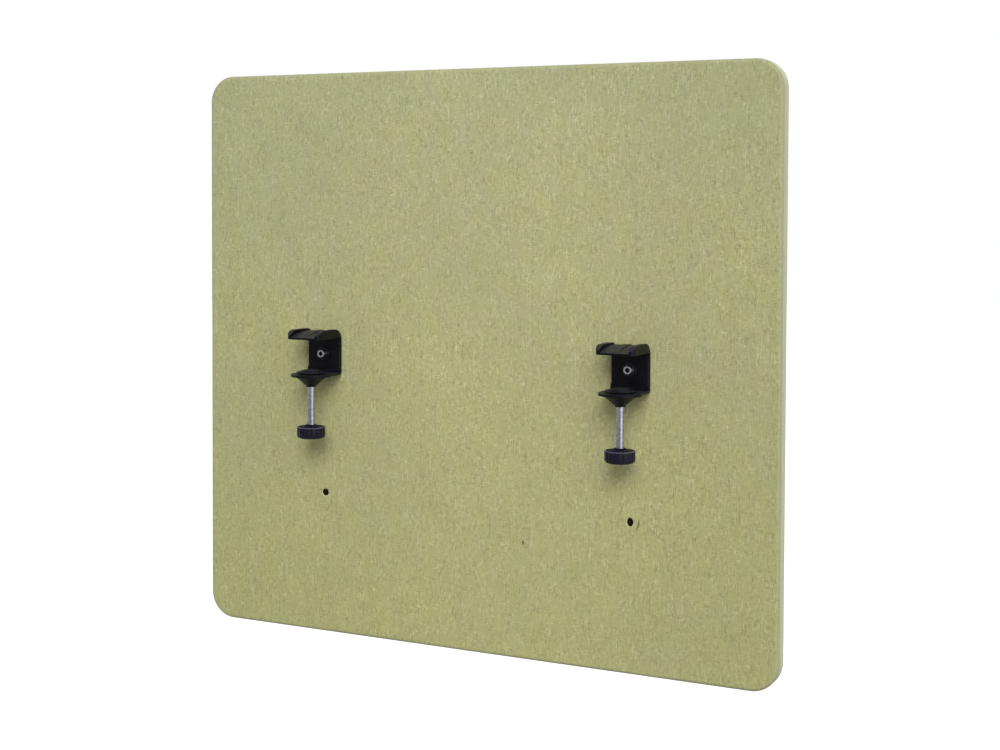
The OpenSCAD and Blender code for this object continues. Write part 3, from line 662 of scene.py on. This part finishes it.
# The socket's floor and wall, its chamfer, the head, and the spigot that runs on into the thread.
head = turned(rounded([
    (0, -2.5, 0), (1.9, -2.5, 0), (2.05, -2.3, 0), (2.0, -0.15, 0), (2.6, 0, 0.1), (4.25, 0, 0.5), (4.25, -5, 0.15),
    (2.5, -5, 0), (2.3, -5.6, 0), (0, -5.6, 0)], 3), 72)


def cap_head(radius, turn, height):
    """Knurls the head's wall and makes its socket a hexagon."""
    if 1.85 < radius < 2.1 and height > -2.6:
        return radius / math.cos((turn + math.pi / 6) % (math.pi / 3) - math.pi / 6)
    if radius > 4.2 and height < -0.6:
        return radius - (0.22 if groove(turn, 72) else 0)
    return radius


reshape(head, cap_head)
screws = bmesh.new()
at_bolts = [Matrix.Translation((side * insert_x, 0, bolt_z)) @ facing_viewer for side in (-1, 1)]
put(screws, head, *at_bolts)
put(screws, helix(2.1, 2.48, 0.8, -21, -5, 20), *at_bolts)
make_piece("cap_screws", screws, bright_zinc, "screen", ["fixing_screws"])

# ---- Washers ----
# A 15 mm washer under each head, pressed from sheet steel and black zinc plated, with the rolled edge that the press
# leaves on one side.
black_zinc, shader = new_material("black zinc plating", {"Metallic": 1.0})
place = add(black_zinc, "TexCoord")
# A dark metal, scuffed paler in small patches.
scuff = add(black_zinc, "TexNoise", {"Vector": place.outputs["Object"], "Scale": 1 / (1.2 * mm), "Detail": 4.0})
colour = add(black_zinc, "ValToRGB", {"Fac": scuff}, [(0.3, "#26262A"), (0.7, "#3C3C42")])
feed(black_zinc, shader, {"Base Color": colour,
                          "Roughness": add(black_zinc, "MapRange", {"Value": scuff, "To Min": 0.3, "To Max": 0.5})})
washers = bmesh.new()
put(washers, turned(rounded([(2.6, -5, 0.15), (7.5, -5, 0.45), (7.5, -6.2, 0.1), (2.6, -6.2, 0.1)], 3), 72, ring=True),
    *at_bolts)
make_piece("pressed_washers", washers, black_zinc, "screen", ["screw_washers"])

# ---- Ball bushes ----
# Natural nylon bushes snap over the screws' balls inside the pads. They are moulded parts that the pads hide, so the
# CAD's shape stays.
natural_nylon, shader = new_material("natural nylon", {"Roughness": 0.4, "Subsurface Weight": 0.1,
                                                       "Subsurface Scale": 1.0 * mm})
place = add(natural_nylon, "TexCoord")
# Ivory white and a little translucent, with faint flow marks.
flow = add(natural_nylon, "TexNoise", {"Vector": place.outputs["Object"], "Scale": 1 / (3 * mm), "Detail": 2.0})
feed(natural_nylon, shader, {"Base Color": add(natural_nylon, "ValToRGB", {"Fac": flow}, [
    (0.3, "#D9D5C6"), (0.7, "#E9E6DA")])})
for side in ("left", "right"):
    nodes[side + "_pad_bush"].material_slots[0].material = natural_nylon

# ---- Swivel pads ----
# Stepped discs of black glass filled nylon, moulded with a fine spark eroded texture. The hub under each is clipped
# over the ball bush, and the steps on top lead up to the recess for the facing.
screw_y, ball_z = -18.3, -39.65
spark_black, shader = new_material("black moulded nylon", {"Specular IOR Level": 0.2})
place = add(spark_black, "TexCoord")
# The spark texture makes the black satin and faintly grainy. It is some 0.05 mm fine, and drawn at 0.35 mm to show.
spark = add(spark_black, "TexNoise", {"Vector": place.outputs["Object"], "Scale": 1 / (0.35 * mm), "Detail": 2.0})
haze = add(spark_black, "TexNoise", {"Vector": place.outputs["Object"], "Scale": 1 / (6 * mm), "Detail": 3.0})
colour = add(spark_black, "ValToRGB", {"Fac": haze}, [(0.35, "#15141B"), (0.65, "#1E1C26")])
bump = add(spark_black, "Bump", {"Strength": 0.4, "Distance": 0.04 * mm, "Height": spark})
feed(spark_black, shader, {"Base Color": colour, "Normal": bump,
                           "Roughness": add(spark_black, "MapRange", {"Value": haze, "To Min": 0.32, "To Max": 0.46})})
# The ball bush sits in a bowl that is open at the hub's lower end.
seat, hub_end = 4.55, -42.3
mouth = math.pi - math.acos((ball_z - hub_end) / seat)
bowl = [(seat * math.sin(a), ball_z + seat * math.cos(a)) for a in (k / 10 * mouth for k in range(9, -1, -1))]
for side, x in (("left", -insert_x), ("right", insert_x)):
    # The recess for the facing, the step round it, a second step, the disc's rim, the hub and the bowl.
    disc = turned(rounded([
        (0, -34.1, 0), (8.55, -34.1, 0), (8.55, -33.3, 0.15), (9.9, -33.3, 0.3), (9.9, -34.1, 0.25),
        (12.7, -34.1, 0.3), (12.7, -34.9, 0.25), (15.5, -34.9, 0.4), (15.5, -36.1, 0.5), (6.25, -36.1, 0.5),
        (6.25, hub_end, 0.5), (3.7, hub_end, 0)], 4) + bowl, 96)
    pad = bmesh.new()
    put(pad, disc, Matrix.Translation((x, screw_y * mm, 0)))
    make_piece(side + "_swivel_disc", pad, spark_black, side + "_swivel_pad", [side + "_pad"])

# ---- Pad facings ----
# Discs of black rubber, 17 mm across, glued into the pads' recesses, with three ring grooves that keep them from
# slipping on the desk.
grip_rubber, shader = new_material("moulded rubber", {"Roughness": 0.75, "Specular IOR Level": 0.3})
place = add(grip_rubber, "TexCoord")
# A dull charcoal with paler patches of talc.
talc = add(grip_rubber, "TexNoise", {"Vector": place.outputs["Object"], "Scale": 1 / (1.0 * mm), "Detail": 4.0})
feed(grip_rubber, shader, {
    "Base Color": add(grip_rubber, "ValToRGB", {"Fac": talc}, [(0.35, "#1C1C1D"), (0.7, "#2B2B2C")]),
    "Normal": add(grip_rubber, "Bump", {"Strength": 0.4, "Distance": 0.05 * mm, "Height": talc})})
top, foot = -32.9, -34.1
grooves = [(r + d, top - (0.35 if d == 0 else 0), 0) for r in (2, 4, 6) for d in (-0.4, 0, 0.4)]
for side, x in (("left", -insert_x), ("right", insert_x)):
    disc = turned(rounded([(0, top, 0)] + grooves + [(8.5, top, 0.3), (8.5, foot, 0.1), (0, foot, 0)], 3), 72)
    facing = bmesh.new()
    put(facing, disc, Matrix.Translation((x, screw_y * mm, 0)))
    make_piece(side + "_ringed_facing", facing, grip_rubber, side + "_swivel_pad",
               [side + "_pad_facing"])

# ---- Clamp screws ----
# M8 screws of zinc plated steel with a rolled right-hand thread, 1.25 mm to a turn, and a ball turned on the upper
# end. They run in the lower jaw's boss.
shaft, shaft_top, shaft_end, chamfer, neck, ball_radius = 4, -43.15, -101.9, 0.8, 2, 3
# The thread is drawn flatter than a standard one, as the rods look almost smooth.
root, crest, lead = 3.7, 3.97, 1.25
for side, x in (("left", -insert_x), ("right", insert_x)):
    rod = helix(root, crest, lead, shaft_end, shaft_top, 40)
    reshape(rod, lambda r, turn, height: min(r, shaft - chamfer + max(0.0, shaft_top - height)))
    ball = [(ball_radius * math.sin(a), ball_z + ball_radius * math.cos(a)) for a in
            (k / 14 * (math.pi - math.asin(neck / ball_radius)) for k in range(15))]
    tip = turned(ball + [(neck, shaft_top + 0.3), (2.3, shaft_top), (2.3, shaft_top - 0.5), (0, shaft_top - 0.5)], 48)
    screw = bmesh.new()
    for part in (rod, tip):
        put(screw, part, Matrix.Translation((x, screw_y * mm, 0)))
    make_piece(side + "_clamp_screw", screw, bright_zinc, side + "_spindle", [side + "_screw"])

# ---- Knobs ----
# Round hand knobs, 30 mm across, of dark violet grey nylon moulded over the screws' lower ends: twelve shallow flutes
# for the fingers, a rounded base, and a low cone up to the stem, which rises out of a shallow dish inside the rim.
knob_bottom, rim_height, flutes, flute_radius, flute_centre = -105.0, 12.1, 12, 5, 19.5
knob_nylon, shader = new_material("dark moulded nylon", {})
place = add(knob_nylon, "TexCoord")
# The pads' spark texture, on nylon that is tinted violet.
spark = add(knob_nylon, "TexNoise", {"Vector": place.outputs["Object"], "Scale": 1 / (0.35 * mm), "Detail": 2.0})
haze = add(knob_nylon, "TexNoise", {"Vector": place.outputs["Object"], "Scale": 1 / (7 * mm), "Detail": 3.0})
colour = add(knob_nylon, "ValToRGB", {"Fac": haze}, [(0.35, "#14111F"), (0.65, "#1B182A")])
# The upper rim is painted a paler grey, as a painted highlight. The dish round the cone and the base under it are left
# dull.
place = add(knob_nylon, "SeparateXYZ", {"Vector": place.outputs["Object"]})
rim = add(knob_nylon, "Math", {0: place.outputs["Z"], 1: (knob_bottom + rim_height - 0.3) * mm, 2: 0.4 * mm},
          operation="COMPARE")
beside = add(knob_nylon, "Math", {0: add(knob_nylon, "Math", {0: place.outputs["X"]}, operation="ABSOLUTE"),
                                  1: insert_x}, operation="SUBTRACT")
before = add(knob_nylon, "Math", {0: place.outputs["Y"], 1: screw_y * mm}, operation="SUBTRACT")
from_axis = add(knob_nylon, "VectorMath", {0: add(knob_nylon, "CombineXYZ", {"X": beside, "Y": before})},
                operation="LENGTH")
outside = add(knob_nylon, "MapRange", {
    "Value": from_axis.outputs["Value"], "From Min": 13.2 * mm, "From Max": 13.8 * mm})
rim = add(knob_nylon, "Math", {0: rim, 1: outside}, operation="MULTIPLY")
colour = add(knob_nylon, "Mix", {"Factor": rim, "A": colour, "B": linear("#55535C")}, data_type="RGBA")
bump = add(knob_nylon, "Bump", {"Strength": 0.4, "Distance": 0.04 * mm, "Height": spark})
feed(knob_nylon, shader, {"Base Color": colour, "Normal": bump,
                          "Roughness": add(knob_nylon, "MapRange", {"Value": haze, "To Min": 0.3, "To Max": 0.42}),
                          "Specular IOR Level": add(knob_nylon, "MapRange", {
                              "Value": outside, "To Min": 0.03, "To Max": 0.16})})


def fluted(radius, turn, height):
    """Cuts the flutes, each with part of a circle of its own, 0.5 mm deep."""
    step = math.tau / flutes
    away = (turn + step / 2) % step - step / 2
    inside = flute_radius ** 2 - (flute_centre * math.sin(away)) ** 2
    return min(radius, flute_centre * math.cos(away) - math.sqrt(inside)) if inside > 0 else radius


for side, x in (("left", -insert_x), ("right", insert_x)):
    # The base, the rim, the dish, the cone, the stem and the bore for the screw.
    grip = turned(rounded([
        (0, 0, 0), (15, 0, 4), (15, rim_height, 1.0), (13.4, rim_height, 0.4), (12.6, 11.3, 0.3), (5.5, 13.8, 0.4),
        (5.5, 14.4, 0.2), (4.05, 14.4, 0), (4.05, 3, 0), (0, 3, 0)], 6), 240)
    reshape(grip, fluted)
    knob = bmesh.new()
    put(knob, grip, Matrix.Translation((x, screw_y * mm, knob_bottom * mm)))
    make_piece(side + "_hand_knob", knob, knob_nylon, side + "_spindle", [side + "_knob"])

# ---- Room ----
# A pale floor 735 mm under the desk's top; soft light from above the viewer, from the right and, for the rear, from
# behind; a tall softbox on the right that only shows in glossy surfaces; the photograph's viewpoint.
floor_level, floor_radius = -0.735, 12
floor_paint, shader = new_material("pale floor", {"Base Color": linear("#8C8C8C"), "Roughness": 0.9,
                                                  "Specular IOR Level": 0.1})
# Floor and world glow white for the camera, the floor with what the lamps add. In glossy surfaces both are dimmer in
# front of the screen, so that the black coat stays black.
path = add(floor_paint, "LightPath")
place = add(floor_paint, "SeparateXYZ", {"Vector": add(floor_paint, "TexCoord").outputs["Object"]})
ahead = add(floor_paint, "MapRange", {"Value": place.outputs["Y"], "From Min": -0.6, "From Max": 0.6, "To Min": 0.1,
                                      "To Max": 1.0})
mirrored = add(floor_paint, "Math", {0: path.outputs["Is Glossy Ray"], 1: ahead}, operation="MULTIPLY")
seen = add(floor_paint, "Math", {0: path.outputs["Is Camera Ray"], 1: mirrored}, operation="ADD")
seen = add(floor_paint, "Math", {0: seen, 1: path.outputs["Is Transmission Ray"]}, operation="ADD", use_clamp=True)
glow = add(floor_paint, "Math", {0: seen, 1: 0.86}, operation="MULTIPLY")
feed(floor_paint, shader, {"Emission Color": (1, 1, 1, 1), "Emission Strength": glow})
# From below the floor is clear, so that it never hides the screen.
one_sided = add(floor_paint, "MixShader", {0: add(floor_paint, "NewGeometry").outputs["Backfacing"], 1: shader,
                                           2: add(floor_paint, "BsdfTransparent")})
feed(floor_paint, floor_paint.node_tree.nodes["Material Output"], {"Surface": one_sided})
floor_mesh = bmesh.new()
bmesh.ops.create_circle(floor_mesh, cap_ends=True, radius=floor_radius, segments=64)
bmesh.ops.translate(floor_mesh, verts=floor_mesh.verts, vec=(0, 0, floor_level))
floor_data = bpy.data.meshes.new("floor")
floor_mesh.to_mesh(floor_data)
floor_mesh.free()
floor_data.materials.append(floor_paint)
floor = bpy.data.objects.new("floor", floor_data)
bpy.context.scene.collection.objects.link(floor)
floor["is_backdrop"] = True

world = bpy.data.worlds.new("studio")
bpy.context.scene.world = world
world.use_nodes = True
background = world.node_tree.nodes["Background"]
path = add(world, "LightPath")
towards = add(world, "SeparateXYZ", {"Vector": add(world, "TexCoord").outputs["Generated"]})
ahead = add(world, "MapRange", {"Value": towards.outputs["Y"], "From Min": -0.1, "From Max": 0.3, "To Min": 0.42,
                                "To Max": 1.0})
mirrored = add(world, "Math", {0: path.outputs["Is Glossy Ray"], 1: ahead}, operation="MULTIPLY")
seen = add(world, "Math", {0: path.outputs["Is Camera Ray"], 1: mirrored}, operation="ADD")
seen = add(world, "Math", {0: seen, 1: path.outputs["Is Transmission Ray"]}, operation="ADD", use_clamp=True)
diffuse = add(world, "Math", {0: path.outputs["Is Diffuse Ray"], 1: 0.41, 2: seen}, operation="MULTIPLY_ADD")
feed(world, background, {"Color": (1, 1, 1, 1), "Strength": diffuse})

for name, strength, spread, aim in (
        ("front", 2.02, 32, (-0.32, 0.76, -0.57)), ("right", 0.98, 50, (-0.8, 0.45, -0.4)),
        ("rear", 1.9, 60, (0.3, -0.85, -0.4))):
    lamp = bpy.data.lights.new(name, "SUN")
    lamp.energy, lamp.angle = strength, math.radians(spread)
    sun = bpy.data.objects.new(name, lamp)
    sun.rotation_euler = Vector(aim).to_track_quat("-Z", "Y").to_euler()
    sun.visible_glossy = False
    bpy.context.scene.collection.objects.link(sun)
softbox = bpy.data.lights.new("softbox", "AREA")
softbox.energy, softbox.shape, softbox.size, softbox.size_y = 34, "RECTANGLE", 2.4, 3.0
stand = bpy.data.objects.new("softbox", softbox)
stand.location = (2.65, -1.41, 0)
stand.rotation_euler = (-stand.location).to_track_quat("-Z", "Y").to_euler()
stand.visible_diffuse = False
bpy.context.scene.collection.objects.link(stand)

# The viewpoint that fits the panel's outline in the photograph.
lens = bpy.data.cameras.new("camera")
lens.lens, lens.sensor_width, lens.shift_y = 57.4987, 36, -0.124467
lens.clip_start, lens.clip_end = 0.05, 60
camera = bpy.data.objects.new("camera", lens)
camera.location = (0.738118, -1.444279, 0.149904)
camera.rotation_euler = [math.radians(a) for a in (88.09195, -0.21940, 25.89666)]
bpy.context.scene.collection.objects.link(camera)
bpy.context.scene.camera = camera
bpy.context.scene.view_settings.view_transform = "Standard"

low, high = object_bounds()
